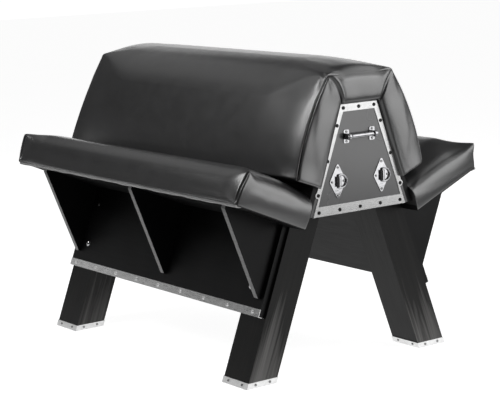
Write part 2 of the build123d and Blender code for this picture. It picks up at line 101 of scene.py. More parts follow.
# Hollows in an end face, where the cover is pulled down to the boards.
Hollow = namedtuple("Hollow", "y z deep reach")
HOLLOWS = [Hollow(0.034, 0.716, 0.0012, 0.020), Hollow(-0.026, 0.722, 0.0020, 0.024),
           Hollow(0.104, 0.688, 0.0022, 0.026), Hollow(-0.104, 0.684, 0.0016, 0.026),
           Hollow(0.186, 0.545, 0.0020, 0.030), Hollow(-0.182, 0.540, 0.0020, 0.030)]

# Where the saddle's skin has its points.
FINE = [0.0, 0.0012, 0.0025, 0.004, 0.006, 0.0085, 0.012, 0.016, 0.022, 0.030]   # in from an edge
SADDLE_STEP = 0.015               # along the bench, away from the ends
LIP_FROM = 0.001                  # this short of the box's end the padding turns in over its boards
LIP_STEPS = (-0.0025, -0.0005)    # from the box's end, before and after that turn
LIP_CLEAR = 0.0028                # no other points this near the box's end
SADDLE_END_STEPS = FINE + [0.040, 0.052]
END_SHARES = [0.0, 0.02, 0.05, 0.09, 0.15, 0.23, 0.33, 0.44, 0.55, 0.66, 0.76, 0.85, 0.91, 0.95,
              0.975, 0.99, 1.0]   # from the boards out to the seam
SIDE_RUN, TOP_RUN = 0.27, 0.10    # rough lengths of a side and of half the top
BELOW_SHOULDER = (0.036, 0.028, 0.020, 0.013, 0.008, 0.004)      # from the shoulder's corner
PAST_SHOULDER = (0.0, 0.004, 0.008, 0.013, 0.020, 0.028)
SIDE_COUNT, CORNER_COUNT, TOP_COUNT = 15, 8, 7   # even steps up the side, round the corner, on top

# The shelf pads.
SHELF_OUT = 0.228                 # width along the tilt
SHELF_THICK = 0.092               # square to it
SHELF_CROWN = 0.010               # swelling of the top, as part of a sine's arch
CROWN_START, CROWN_SPAN, CROWN_POWER = 0.15, 0.6, 0.6
SHELF_ROLL = 0.050                # radius of the long outer edge
SHELF_PINCH = 0.010               # radius of the same edge at the corners
PINCH_RUN = 0.09                  # over this length it goes from one to the other
SHELF_END_ROLL = (0.012, 0.034)   # radius of an end's upper edge, at the outer corner and beyond it
END_ROLL_RUN = 0.05
SHELF_CORNER_ROUND = 0.006        # the upright edges at the outer corners
SHELF_LOW_ROUND = 0.005
SHELF_PILLOW = 0.006              # swelling of an end face between its edges
SIDE_PILLOW, SIDE_PILLOW_REACH = 0.003, 0.02     # how far the long face lies back at its foot
# At each end of the left shelf (1) and the right one (-1): how far the top is drawn down along its
# edge, more at the inner corner, and more at the outer one; how far the outer corner sticks out (or
# is pulled in) at the top, and how far out over its whole height.
ShelfEnd = namedtuple("ShelfEnd", "drop inner_drop outer_drop top_ear whole_ear")
ENDS = {("front", 1): ShelfEnd(0.015, 0.003, 0.008, 0.015, 0.0),
        ("front", -1): ShelfEnd(0.0, 0.010, 0.002, -0.012, 0.0),
        ("rear", 1): ShelfEnd(0.004, 0.012, 0.004, 0.006, 0.003),
        ("rear", -1): ShelfEnd(0.0, 0.018, 0.008, 0.004, 0.006)}
DROP_RUN, OUTER_RUN, INNER_RUN = 0.10, 0.11, 0.09       # how far those reach from their edges
RISE_POWER = 1.5                  # the crown and the drop fade out downwards by this power
EAR_REACH = 0.035                 # how far round its corner an ear spreads
EAR_FORWARD = 0.5                 # how far it sticks out endways, as a share of sideways
PLEAT_BACK = 0.011                # from the shelf's corner to its pleat
PLEAT_LEAN = 0.3                  # share of that by which it is nearer the corner at the top
PLEAT_DEPTH = 0.006
PLEAT_HALF = 0.0022
PLEAT_RISE = 5                    # it deepens to full over the lowest of so many parts of the height
WALL_GAP = 0.0004                 # between a shelf's padding and the side board

# Where a shelf's skin has its points.
SHELF_INNER_STEPS = [0.0, 0.004, 0.010] + [0.020 + 0.014 * i for i in range(12)]
SHELF_OUTER_STEPS = [0.032, 0.025, 0.019, 0.014, 0.0095, 0.006, 0.0035, 0.0015, 0.0]
SHELF_END_STEPS = [0.0, 0.0015, 0.0035, 0.006, 0.0085, 0.0105, 0.0125, 0.0150, 0.019, 0.025, 0.033]
SHELF_STEP = 0.014
SHELF_UP_STEPS = [0.0, 0.0012, 0.003, 0.006, 0.010, 0.016, 0.024, 0.034, 0.044, 0.053, 0.060, 0.066,
                  0.072, 0.077, 0.082, 0.086, 0.0895, SHELF_THICK]

# The tacked hem under a shelf's outer edge: its section as (outwards, up) from that edge.
HEM_SECTION = [(-0.0004, 0.0016), (0.0006, 0.0002), (0.0002, -0.0024), (-0.0020, -0.0040),
               (-0.0070, -0.0036), (-0.0150, -0.0016), (-0.0170, 0.0006)]
HEM_INSET = 0.003                 # from the shelf's outer edge
HEM_END_INSET = 0.006
HEM_COUNT = 220
HEM_GATHER = 0.22                 # how unevenly it is gathered
HEM_WAVES = (61.0, 23.0, 1.1)     # two rhythms for that, radians to a metre, and a shift

CLOTH_FRAMES = 20
CLOTH_PRESSURE = 4.0
CLOTH_MOST = 0.0010               # the most the simulation may move a point
HELD_NEAR, HELD_BESIDE = 0.0015, 0.002           # saddle points this near the boards are held
SHELF_HELD_UNDER, SHELF_HELD_WALL = 0.004, 0.006        # and shelf points, by board and by wall

# Floor, light and camera.
FLOOR_REACH = 14.0
GLOW_LEVEL = -0.002               # the lit pool, just under the floor
WORLD_ABOVE = 0.075
WORLD_BELOW = 0.08
WORLD_SEEN = 1.05                 # the white that the camera sees behind the bench
HORIZON = (-0.15, 0.10)           # below turns to above between these, as the sine of the elevation
GLOW = 1.00                       # of the lit floor round the bench, as its glossy parts see it
GLOW_FULL, GLOW_GONE = 0.9, 1.6   # it fades between these distances from the middle
# Each light: place, target, width and height, brightness.
SOFTBOXES = {
    "end_box": ((2.25, 1.30, 1.13), (0.5, 0.0, 1.13), (2.3, 2.1), 2.1),
    "top_box": ((-2.3, -0.1, 2.4), (0.0, -0.1, 0.7), (1.6, 1.2), 0.26),
    "side_box": ((-0.50, -1.75, 2.40), (0.45, -0.2, 0.68), (0.9, 1.7), 5.5),
    "front_box": ((1.40, 1.35, 2.20), (0.5, 0.0, 0.75), (1.8, 1.6), 0.85),
    "left_box": ((0.10, 2.30, 2.40), (0.4, 0.0, 0.75), (1.5, 1.6), 0.7),
    "low_box": ((-2.90, -2.40, 0.14), (0.0, -0.3, 0.05), (2.6, 0.3), 1.2),
    "rear_box": ((-2.7, 2.1, 1.2), (0.0, 0.0, 0.7), (2.2, 1.8), 0.85),
    "back_box": ((-2.3, -1.3, 0.35), (-0.5, 0.0, 0.45), (1.6, 0.6), 0.35)}
CAMERA_PLACE = (3.5408, -2.6579, 1.1389)
CAMERA_AZIMUTH = math.radians(52.77)
CAMERA_ELEVATION = math.radians(9.86)
CAMERA_ROLL = math.radians(-1.59)
LENS_MM = 118.1

# Greys of the materials, from black at 0 to white at 1.
STRIP_TONE, TRIM_TONE, CAP_TONE, BRIGHT_TONE = 0.97, 0.52, 0.92, 1.0
BRUSH_SQUEEZE = 0.02              # of the metal's noise along its brush strokes
DARK_WOOD = (0.004, 0.004, 0.004)
LIGHT_WOOD = (0.012, 0.0115, 0.011)
# painted light: the pale colour painted on the legs' end faces near the floor, for the lit floor's
# glow on them
FLOOR_LIGHT_WOOD = (0.26, 0.255, 0.25)
CUT_EDGE = (0.75, 0.75, 0.75)
# Each steel: its nodes, darkest and lightest grey, and roughness.
STEELS = {"screw_steel": (["ring_plate_screws", "handle_screws", "foot_cap_screws"], 0.22, 0.45, 0.25),
          "trim_screw_steel": (["trim_screws"], 0.015, 0.05, 0.3),
          "bolt_steel": (["upper_leg_bolts", "box_screws"], 0.02, 0.10, 0.3)}

LEAN_COS, LEAN_SIN = math.cos(LEAN), math.sin(LEAN)
TILT_COS, TILT_SIN = math.cos(TILT), math.sin(TILT)

SIDE_LOW, SIDE_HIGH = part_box("side_board_left")
BOX_END = SIDE_HIGH.x
TOP_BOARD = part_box("top_board")[1].z
SADDLE_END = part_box("saddle_pad")[1].x
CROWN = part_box("saddle_pad")[1].z
SHELF_BOX_LOW, SHELF_BOX_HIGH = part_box("shelf_pad_left")
SHELF_END = SHELF_BOX_HIGH.x
FACE_FOOT = SIDE_HIGH.y + SIDE_LOW.z * math.tan(LEAN)      # the leaning face carried to the floor


# ---- geometry helpers ----
def lean_y(z, out=0.0):
    """The y, on the left side, of the plane `out` outside the side board's outer face."""
    return FACE_FOOT - z * math.tan(LEAN) + out / LEAN_COS


def on_lean(z, out):
    """The (y, z) met by going `out` square off the leaning face from height z on it."""
    return np.array([lean_y(z) + out * LEAN_COS, z + out * LEAN_SIN])


def smooth(value):
    """0 to 1 with level ends."""
    t = max(0.0, min(1.0, value))
    return t * t * (3 - 2 * t)


def hump(distance, half):
    """1 at no distance, falling away to nothing past about twice `half`."""
    return math.exp(-(distance / half) ** 2)


def bezier(a, bend, b, t):
    """A point of the curve from a to b that leaves and arrives in line with `bend`."""
    return a * (1 - t) ** 2 + bend * 2 * t * (1 - t) + b * t * t


def steps_between(low, high, edge_steps, coarse):
    """Positions from low to high: the given distances in from each end, even ones between."""
    first = [low + d for d in edge_steps]
    last = [high - d for d in reversed(edge_steps)]
    gap = last[0] - first[-1]
    count = max(1, round(gap / coarse))
    return first + [first[-1] + gap * i / count for i in range(1, count)] + last


# ---- closed skins of quads ----
def block(name, s_steps, x_steps, w_steps, place):
    """A closed skin of quads round a block of steps, each point put where place(s, x, w) says."""
    index, points, faces = {}, [], []

    def corner(i, j, k):
        if (i, j, k) not in index:
            index[i, j, k] = len(points)
            points.append(place(s_steps[i], x_steps[j], w_steps[k]))
        return index[i, j, k]

    last_s, last_x, last_w = len(s_steps) - 1, len(x_steps) - 1, len(w_steps) - 1
    for k in (0, last_w):
        for i in range(last_s):
            for j in range(last_x):
                faces.append([corner(i, j, k), corner(i + 1, j, k),
                              corner(i + 1, j + 1, k), corner(i, j + 1, k)])
    for j in (0, last_x):
        for i in range(last_s):
            for k in range(last_w):
                faces.append([corner(i, j, k), corner(i + 1, j, k),
                              corner(i + 1, j, k + 1), corner(i, j, k + 1)])
    for i in (0, last_s):
        for j in range(last_x):
            for k in range(last_w):
                faces.append([corner(i, j, k), corner(i, j + 1, k),
                              corner(i, j + 1, k + 1), corner(i, j, k + 1)])
    return mesh_object(name, points, faces)


def mesh_object(name, points, faces):
    """A new object in the scene, its faces all looking outwards."""
    mesh = bpy.data.meshes.new(name)
    mesh.from_pydata([tuple(p) for p in points], [], faces)
    shape = bmesh.new()
    shape.from_mesh(mesh)
    bmesh.ops.recalc_face_normals(shape, faces=shape.faces)
    shape.to_mesh(mesh)
    shape.free()
    piece = bpy.data.objects.new(name, mesh)
    bpy.context.scene.collection.objects.link(piece)
    return piece


def positions(mesh):
    """A mesh's points as rows of (x, y, z)."""
    flat = np.zeros(len(mesh.vertices) * 3)
    mesh.vertices.foreach_get("co", flat)
    return flat.reshape(-1, 3)


def round_block(depths, radius):
    """Depths of a point on a block's skin below its faces, with every edge rounded."""
    cores = [max(0.0, radius - d) for d in depths]
    reach = math.sqrt(sum(c * c for c in cores))
    if reach <= radius:
        return depths
    return [radius - c * radius / reach if c > 0 else d for c, d in zip(cores, depths)]


# ---- cloth ----
def swell(piece, held):
    """Blow the padding up a little as cloth, held at the points given, then keep the result."""
    start = positions(piece.data)
    group = piece.vertex_groups.new(name="held")
    group.add([int(i) for i in np.flatnonzero(held)], 1.0, "ADD")
    cloth = piece.modifiers.new("Cloth", "CLOTH")
    rules = cloth.settings
    rules.quality = 5
    rules.mass = 0.4
    rules.tension_stiffness = 30
    rules.compression_stiffness = 30
    rules.shear_stiffness = 15
    rules.bending_stiffness = 3.0
    rules.use_pressure = True
    rules.uniform_pressure_force = CLOTH_PRESSURE
    rules.vertex_group_mass = "held"
    rules.effector_weights.gravity = 0
    cloth.collision_settings.use_collision = False
    scene = bpy.context.scene
    for step in range(1, CLOTH_FRAMES + 1):
        scene.frame_set(step)
    evaluated = piece.evaluated_get(bpy.context.evaluated_depsgraph_get())
    moved = positions(evaluated.to_mesh())
    evaluated.to_mesh_clear()
    piece.modifiers.remove(cloth)
    piece.vertex_groups.remove(group)
    shift = moved - start
    length = np.linalg.norm(shift, axis=1, keepdims=True)
    shift *= np.minimum(1.0, CLOTH_MOST / np.maximum(length, 1e-9))
    piece.data.vertices.foreach_set("co", (start + shift).ravel())
    piece.data.update()
    scene.frame_set(1)


def refine(piece):
    """Subdivide once and smooth-shade."""
    modifier = piece.modifiers.new("Subdivision", "SUBSURF")
    modifier.levels = 1
    modifier.render_levels = 1
    smoothed = bpy.data.meshes.new_from_object(
        piece.evaluated_get(bpy.context.evaluated_depsgraph_get()))
    piece.modifiers.remove(modifier)
    piece.data = smoothed
    for polygon in smoothed.polygons:
        polygon.use_smooth = True


# ---- the saddle pad ----
def half_line(foot, shoulder, crown, bulge, cut_back, stations):
    """Points of the pad's left outer line at stations (part, share): side, corner or top."""
    length = np.linalg.norm(shoulder - foot)
    run = (shoulder - foot) / length
    side_bend = (foot + shoulder) / 2 + np.array([run[1], -run[0]]) * bulge * 2
    top_bend = np.array([0.0, 2 * crown - shoulder[1]])
    mirrored = shoulder * np.array([-1, 1])
    side_stop = 1 - cut_back / length
    top_start = cut_back / (2 * shoulder[0])
    side_end = bezier(foot, side_bend, shoulder, side_stop)
    top_first = bezier(shoulder, top_bend, mirrored, top_start)
    points = []
    for part, share in stations:
        if part == "side":
            points.append(bezier(foot, side_bend, shoulder, share * side_stop))
        elif part == "corner":
            points.append(bezier(side_end, shoulder, top_first, share))
        else:
            points.append(bezier(shoulder, top_bend, mirrored, top_start + (0.5 - top_start) * share))
    return points


def inner_line(stations):
    """The pad's inner line on the boards at the same stations."""
    low = on_lean(SADDLE_LOW, 0.0)
    high = np.array([lean_y(TOP_BOARD), TOP_BOARD])
    middle = np.array([0.0, TOP_BOARD])
    side_end = high - (high - low) / np.linalg.norm(high - low) * INNER_CORNER
    top_first = high - np.array([INNER_CORNER, 0.0])
    points = []
    for part, share in stations:
        if part == "side":
            points.append(low + (side_end - low) * share)
        elif part == "corner":
            points.append(bezier(side_end, high, top_first, share))
        else:
            points.append(top_first + (middle - top_first) * share)
    return points


def stations_of_half():
    """Stations from the lower edge to the middle of the top, close together at edge and mitre."""
    low = [d / SIDE_RUN for d in FINE]
    high = [1 - d / SIDE_RUN for d in BELOW_SHOULDER]
    gap = high[0] - low[-1]
    middle = [low[-1] + gap * i / SIDE_COUNT for i in range(1, SIDE_COUNT)]
    stations = [("side", share) for share in low + middle + high]
    stations += [("corner", i / CORNER_COUNT) for i in range(CORNER_COUNT)]
    near = [d / TOP_RUN for d in PAST_SHOULDER]
    rest = [near[-1] + (1 - near[-1]) * i / TOP_COUNT for i in range(1, TOP_COUNT + 1)]
    return stations + [("top", share) for share in near + rest]


def whole_line(half):
    """A left half and its mirror image, meeting in the middle of the top."""
    return half + [p * np.array([-1, 1]) for p in reversed(half[:-1])]


def saddle_pad():
    """The saddle's cover: an end section at each end, a fuller one between, and two end faces."""
    stations = stations_of_half()
    mitre = stations.index(("corner", 0.5))
    foot = on_lean(SADDLE_LOW, SADDLE_THICK)
    inner = whole_line(inner_line(stations))
    out_of_side = np.array([LEAN_COS, LEAN_SIN])
    pushed = SHOULDER + out_of_side * END_PUSH
    front = whole_line(half_line(foot + out_of_side * END_PUSH, pushed, END_CROWN, SIDE_BULGE,
                                 SHOULDER_TIGHT, stations))
    rear = whole_line(half_line(foot + out_of_side * (END_PUSH + REAR_FOOT), pushed, END_CROWN,
                                REAR_BULGE, SHOULDER_TIGHT, stations))
    fuller = foot + out_of_side * FULLER
    soft = whole_line(half_line(fuller, SHOULDER + SOFT_RISE, CROWN, SIDE_BULGE, SHOULDER_SOFT,
                                stations))
    full = whole_line(half_line(fuller, SHOULDER + FULL_RISE, CROWN, SIDE_BULGE, SHOULDER_TIGHT,
                                stations))
    lengths = [np.linalg.norm(b - a) for a, b in zip(front, front[1:])]
    along = np.concatenate([[0], np.cumsum(lengths)])
    whole = along[-1]
    last = len(inner) - 1

    def place(i, x, share):
        depth_x = SADDLE_END - abs(x)
        top_from = TOP_FULL_FROM["front" if x > 0 else "rear"]
        full_from = FULL_FROM + (top_from - FULL_FROM) * smooth((full[i][1] - TOP_FROM) / TOP_BLEND)
        fullness = 1 - (1 - min(1.0, depth_x / full_from)) ** 2
        softness = smooth(depth_x / CORNER_RUN)
        rounded = full[i] + (soft[i] - full[i]) * softness
        ending = front[i] if x > 0 else rear[i]
        outside = ending + (rounded - ending) * fullness
        height = smooth((outside[1] - ARM_LOW) / ARM_RISE)
        on_top = smooth((CROWN_HALF - abs(outside[0])) / CROWN_BLEND)
        inside = inner[i]
        lip = -BOARD if abs(x) > BOX_END - LIP_FROM else 0.0
        gap = outside - inside
        thick = np.linalg.norm(gap)
        outward = gap / thick
        depth_w = (1 - share) * (thick - lip)
        depth_s = min(along[i], whole - along[i])
        side = 1 if i <= last / 2 else -1
        edge = SEAM_ROUND + (TOP_ROUND - SEAM_ROUND) * on_top
        new_s, new_x, new_w = round_block([depth_s, depth_x, depth_w], edge)
        inner_depth = thick - lip - new_w
        if lip:
            lip_round = LIP_ROUND[0] + (LIP_ROUND[1] - LIP_ROUND[0]) * height
            new_x, inner_depth = round_block([new_x, inner_depth], lip_round)
        if depth_x == 0:
            new_x += end_hollow(share, height, on_top)
            bow = MITRE_BOW * math.sin(math.pi * share)
            step = side * (along[i] - along[mitre if side == 1 else last - mitre]) - bow
            fold = MITRES[side]
            groove = fold.deep_in + (fold.deep_out - fold.deep_in) * share
            new_x += groove * hump(step, fold.half) - fold.lap * hump(step - LAP_BESIDE, LAP_HALF)
            new_x += end_dimples(outside * (1 - depth_w / thick) + inside * depth_w / thick)
        else:
            new_x += end_hollow(share, height, on_top) * smooth(1 - depth_x / PILLOW_REACH)
        seam = SEAM_DEPTH * (1 - on_top) * hump(math.hypot(depth_x, depth_w), SEAM_HALF)
        new_x += seam
        inner_depth -= seam
        tangent = np.array([-outward[1], outward[0]]) * side
        point = inside + outward * (lip + inner_depth) + tangent * (new_s - depth_s)
        return math.copysign(SADDLE_END - new_x, x), point[0], point[1]

    xs = steps_between(-SADDLE_END, SADDLE_END, SADDLE_END_STEPS, SADDLE_STEP)
    xs = [x for x in xs if abs(abs(x) - BOX_END) > LIP_CLEAR]
    xs = sorted(xs + [end * (BOX_END + d) for end in (-1, 1) for d in LIP_STEPS])
    return block("saddle_cover", range(len(inner)), xs, END_SHARES, place)


def end_hollow(share, height, on_top):
    """How far an end face lies back at `share` of the way out, from its fullest line."""
    back = 1 - math.sin(math.pi * share)
    if share < 0.5:
        return (INNER_FALL[0] + INNER_FALL[1] * height) * back ** INNER_POWER
    return END_PILLOW * (1 - on_top) * back ** OUTER_POWER


def end_dimples(point):
    """How far the hollows pull an end face back at a point (y, z)."""
    return sum(h.deep * hump(math.hypot(point[0] - h.y, point[1] - h.z), h.reach) for h in HOLLOWS)


def on_boards(points):
    """Which of the saddle cover's points lie on the boards or over their ends."""
    y, z = np.abs(points[:, 1]), points[:, 2]
    out = (y - (FACE_FOOT - z * math.tan(LEAN))) * LEAN_COS
    on_side = out < HELD_NEAR
    on_top = (z < TOP_BOARD + HELD_NEAR) & (y < lean_y(TOP_BOARD) + HELD_BESIDE)
    return on_side | on_top


# ---- the shelf pads ----
def shelf_axes(side):
    """Origin, outward direction and upward direction of a shelf's section, in (y, z)."""
    low = SHELF_BOX_LOW.z
    origin = np.array([side * lean_y(low), low])
    out = np.array([side * TILT_COS, TILT_SIN])
    up = np.array([-side * TILT_SIN, TILT_COS])
    return origin, out, up


def shelf_pad(name, side):
    """A shelf's cover: foam over the board, drawn down at its ends and rolled over the outer edge."""
    origin, out, up = shelf_axes(side)
    lean_back = math.tan(TILT - LEAN)

    def place(s, x, w):
        end_name = "front" if x > 0 else "rear"
        depth_x, depth_s, depth_w = SHELF_END - abs(x), SHELF_OUT - s, SHELF_THICK - w
        height = w / SHELF_THICK
        end_near = smooth(1 - depth_x / DROP_RUN)
        outer_near = smooth(1 - depth_s / OUTER_RUN)
        inner_near = smooth(1 - s / INNER_RUN)
        arch = math.sin(math.pi * (CROWN_START + CROWN_SPAN * s / SHELF_OUT)) ** CROWN_POWER
        crown = SHELF_CROWN * (1 - end_near) * arch
        end = ENDS[end_name, side]
        drop = end.drop + end.inner_drop * inner_near + end.outer_drop * outer_near
        roll = SHELF_PINCH + (SHELF_ROLL - SHELF_PINCH) * smooth(depth_x / PINCH_RUN)
        new_s, new_w = round_block([depth_s, depth_w], roll)
        at_corner, beyond = SHELF_END_ROLL
        end_roll = at_corner + (beyond - at_corner) * smooth(depth_s / END_ROLL_RUN)
        new_x, new_w = round_block([depth_x, new_w], end_roll)
        new_s, new_x = round_block([new_s, new_x], SHELF_CORNER_ROUND)
        low = SHELF_THICK - new_w
        new_s, low = round_block([new_s, low], SHELF_LOW_ROUND)
        new_x, low = round_block([new_x, low], SHELF_LOW_ROUND)
        risen = low / SHELF_THICK
        hollow = SHELF_PILLOW * (2 * risen - 1) ** 2
        new_x += hollow * smooth(1 - depth_x / PILLOW_REACH)
        lower = min(0.5, height)
        side_hollow = SIDE_PILLOW * (1 - math.sin(math.pi * lower))
        new_s += side_hollow * smooth(1 - depth_s / SIDE_PILLOW_REACH)
        if depth_s == 0:
            pleat = PLEAT_BACK * (1 - PLEAT_LEAN * height ** 2)
            new_s += PLEAT_DEPTH * hump(depth_x - pleat, PLEAT_HALF) * smooth(height * PLEAT_RISE)
        low += (crown - drop * end_near) * risen ** RISE_POWER
        ear = end.top_ear * hump(math.hypot(depth_x, depth_s, depth_w), EAR_REACH)
        ear += end.whole_ear * hump(math.hypot(depth_x, depth_s), EAR_REACH)
        new_s -= ear
        new_x -= max(0.0, ear) * EAR_FORWARD
        start = low * lean_back
        reach = SHELF_OUT - new_s
        along_out = max(start + WALL_GAP, reach)
        y, z = origin + out * along_out + up * low
        return math.copysign(SHELF_END - new_x, x), y, z

    ss = sorted(set(SHELF_INNER_STEPS + [SHELF_OUT - d for d in SHELF_OUTER_STEPS]))
    xs = steps_between(-SHELF_END, SHELF_END, SHELF_END_STEPS, SHELF_STEP)
    return block(name, ss, xs, SHELF_UP_STEPS, place)


def on_shelf_board(points, side):
    """Which of a shelf cover's points lie on its board or against the side board."""
    origin, out, up = shelf_axes(side)
    flat = points[:, 1:] - origin
    return (flat @ up < SHELF_HELD_UNDER) | (flat @ out < SHELF_HELD_WALL)


def shelf_hem(name, side):
    """The turned-under edge of a shelf's cover, tacked along the underside and a little gathered."""
    origin, out, up = shelf_axes(side)
    half = SHELF_END - HEM_END_INSET
    fast, slow, shift = HEM_WAVES
    points, faces = [], []
    for i in range(HEM_COUNT + 1):
        x = -half + 2 * half * i / HEM_COUNT
        gather = 1.0 + HEM_GATHER * math.sin(x * fast) * math.sin(x * slow + shift)
        for along, above in HEM_SECTION:
            y, z = origin + out * (SHELF_OUT - HEM_INSET + along * gather) + up * above * gather
            points.append((x, y, z))
    size = len(HEM_SECTION)
    for i in range(HEM_COUNT):
        for j in range(size):
            a, b = i * size + j, i * size + (j + 1) % size
            faces.append([a, b, b + size, a + size])
    faces += [list(range(size)), [HEM_COUNT * size + j for j in reversed(range(size))]]
    return mesh_object(name, points, faces)


# ---- materials ----
class Shader:
    """A material being put together round one Principled BSDF."""

    def __init__(self, name):
        self.material = bpy.data.materials.new(name)
        self.material.use_nodes = True
        self.tree = self.material.node_tree
        self.surface = self.tree.nodes["Principled BSDF"]
        self.place = self.add("ShaderNodeTexCoord").outputs["Object"]

    def add(self, kind, **values):
        """A new node with the given properties."""
        node = self.tree.nodes.new(kind)
        for name, value in values.items():
            setattr(node, name, value)
        return node

    def link(self, source, target):
        self.tree.links.new(source, target)

    def set(self, **values):
        """Values of the surface's own sockets, their names written with underscores."""
        for name, value in values.items():
            self.surface.inputs[name.replace("_", " ")].default_value = value

    def mapping(self, stretch=(1, 1, 1), turn=(0, 0, 0)):
        """Coordinates turned, then stretched."""
        turned = self.add("ShaderNodeMapping", vector_type="POINT")
        turned.inputs["Rotation"].default_value = turn
        self.link(self.place, turned.inputs["Vector"])
        scaled = self.add("ShaderNodeMapping", vector_type="POINT")
        scaled.inputs["Scale"].default_value = stretch
        self.link(turned.outputs["Vector"], scaled.inputs["Vector"])
        return scaled.outputs["Vector"]

    def noise(self, scale, detail=2.0, roughness=0.5, where=None, distortion=0.0):
        """Cloudy noise, with so many waves to a metre."""
        node = self.add("ShaderNodeTexNoise")
        node.inputs["Scale"].default_value = scale
        node.inputs["Detail"].default_value = detail
        node.inputs["Roughness"].default_value = roughness
        node.inputs["Distortion"].default_value = distortion
        self.link(where or self.place, node.inputs["Vector"])
        return node.outputs["Fac"]

    def cells(self, scale):
        """How far inside its cell a point is, with so many cells to a metre."""
        node = self.add("ShaderNodeTexVoronoi", feature="DISTANCE_TO_EDGE")
        node.inputs["Scale"].default_value = scale
        self.link(self.place, node.inputs["Vector"])
        return node.outputs["Distance"]

    def ramp(self, source, stops):
        """A colour ramp: stops are (position, colour or grey)."""
        node = self.add("ShaderNodeValToRGB")
        elements = node.color_ramp.elements
        while len(elements) < len(stops):
            elements.new(0.5)
        for element, (position, colour) in zip(elements, stops):
            element.position = position
            shade = (colour,) * 3 if isinstance(colour, (int, float)) else colour
            element.color = (*shade, 1.0)
        self.link(source, node.inputs["Fac"])
        return node.outputs["Color"]

    def blend(self, share, first, second, socket):
        """Two colours mixed by `share` into a socket of the surface."""
        node = self.add("ShaderNodeMix", data_type="RGBA")
        self.link(share, node.inputs["Factor"])
        self.link(first, node.inputs[6])
        self.link(second, node.inputs[7])
        self.link(node.outputs[2], self.surface.inputs[socket])

    def facing_x(self, low, high, away, along):
        """From `away` to `along` as a face turns to look along X, from the true normal."""
        apart = self.add("ShaderNodeSeparateXYZ")
        self.link(self.add("ShaderNodeNewGeometry").outputs["True Normal"], apart.inputs[0])
        size = self.add("ShaderNodeMath", operation="ABSOLUTE")
        self.link(apart.outputs["X"], size.inputs[0])
        return self.ramp(size.outputs[0], [(low, away), (high, along)])

    def fade(self, source, start, end):
        """From one value to another as the source grows; start and end are (source, value)."""
        node = self.add("ShaderNodeMapRange")
        node.inputs["From Min"].default_value, node.inputs["To Min"].default_value = start
        node.inputs["From Max"].default_value, node.inputs["To Max"].default_value = end
        self.link(source, node.inputs["Value"])
        return node.outputs["Result"]

    def combine(self, kind, first, second):
        """Two varying values put together by a Math node of the given kind."""
        node = self.add("ShaderNodeMath", operation=kind)
        self.link(first, node.inputs[0])
        self.link(second, node.inputs[1])
        return node.outputs[0]

    def colour(self, source, *stops):
        self.link(self.ramp(source, stops), self.surface.inputs["Base Color"])

    def roughness(self, source, *stops):
        self.link(self.ramp(source, stops), self.surface.inputs["Roughness"])

    def bumps(self, *layers):
        """Bump layers, each (height, strength, distance), broad ones first."""
        normal = None
        for height, strength, distance in layers:
            node = self.add("ShaderNodeBump")
            node.inputs["Strength"].default_value = strength
            node.inputs["Distance"].default_value = distance
            self.link(height, node.inputs["Height"])
            if normal is not None:
                self.link(normal, node.inputs["Normal"])
            normal = node.outputs["Normal"]
        self.link(normal, self.surface.inputs["Normal"])


def cover_material(name, dark, light, shine):
    """Black upholstery vinyl: fine pebble grain, a soft shine and slightly uneven tension."""
    shader = Shader(name)
    shader.colour(shader.noise(7.0, 3.0), (0.3, dark), (0.75, light))
    shader.roughness(shader.noise(26.0, 4.0), (0.3, shine), (0.7, shine + 0.08))
    pull = shader.noise(9.0, 1.0)
    pebble = shader.ramp(shader.cells(620.0), [(0.0, 0.0), (0.25, 1.0)])
    pores = shader.noise(2200.0, 2.0)
    shader.bumps((pull, 0.25, 0.004), (pebble, 0.16, 0.0003), (pores, 0.1, 0.0002))
    shader.set(Specular_IOR_Level=1.0, Coat_Weight=1.0, Coat_Roughness=0.27, Coat_IOR=1.65)
    return shader.material


def stained_wood(name, turn, dark, light, wear_and_floor_light, shine):
    """Black-stained timber, its grain along Z once turned by `turn`.

    Near the floor, the faces that look along the bench are painted paler, as painted light from the
    lit floor.
    """
    shader = Shader(name)
    long_grain = shader.mapping(stretch=(1.0, 1.0, 0.045), turn=turn)
    fibres = shader.noise(420.0, 6.0, 0.65, long_grain)
    figure = shader.noise(38.0, 4.0, 0.6, long_grain, distortion=0.6)
    middle = tuple(a + (b - a) * 0.4 for a, b in zip(dark, light))
    apart = shader.add("ShaderNodeSeparateXYZ")
    shader.link(shader.place, apart.inputs[0])
    # painted light: paler towards the floor, on the faces that look along the bench only, for the lit
    # floor's glow on them
    near_floor = shader.fade(apart.outputs["Z"], (0.0, 0.42), (0.30, 0.0))
    painted_floor_light = shader.combine("MULTIPLY", near_floor, shader.facing_x(0.6, 0.8, 0.0, 1.0))
    figure_and_floor_light = shader.combine("ADD", figure, painted_floor_light)
    shader.colour(figure_and_floor_light, (0.25, dark), (0.55, middle), (0.72, light), (1.0, wear_and_floor_light))
    shader.roughness(fibres, (0.3, shine), (0.75, shine + 0.16))
    shader.bumps((figure, 0.12, 0.0012), (fibres, 0.3, 0.0005))
    shader.set(Specular_IOR_Level=0.25)
    return shader.material


def painted_board(name, edge):
    """Boards brushed black, with faint brush lines; `edge` is the bare colour of their cut edges.

    The edges are the faces that don't look along the bench. Without a colour they are black too.
    """
    shader = Shader(name)
    lines = shader.noise(160.0, 5.0, 0.6, shader.mapping(stretch=(0.06, 1.0, 1.0)))
    cloudy = shader.noise(11.0, 3.0)
    paint = shader.ramp(cloudy, [(0.3, (0.005, 0.005, 0.0054)), (0.8, (0.010, 0.010, 0.0106))])
    if edge:
        wear_and_floor_light = shader.ramp(lines, [(0.3, tuple(c * 0.75 for c in edge)), (0.7, edge)])
        shader.blend(shader.facing_x(0.3, 0.5, 1.0, 0.0), paint, wear_and_floor_light, "Base Color")
    else:
        shader.link(paint, shader.surface.inputs["Base Color"])
    shader.roughness(lines, (0.3, 0.36), (0.75, 0.52))
    shader.bumps((lines, 0.22, 0.0004))
    shader.set(Specular_IOR_Level=0.20)
    return shader.material


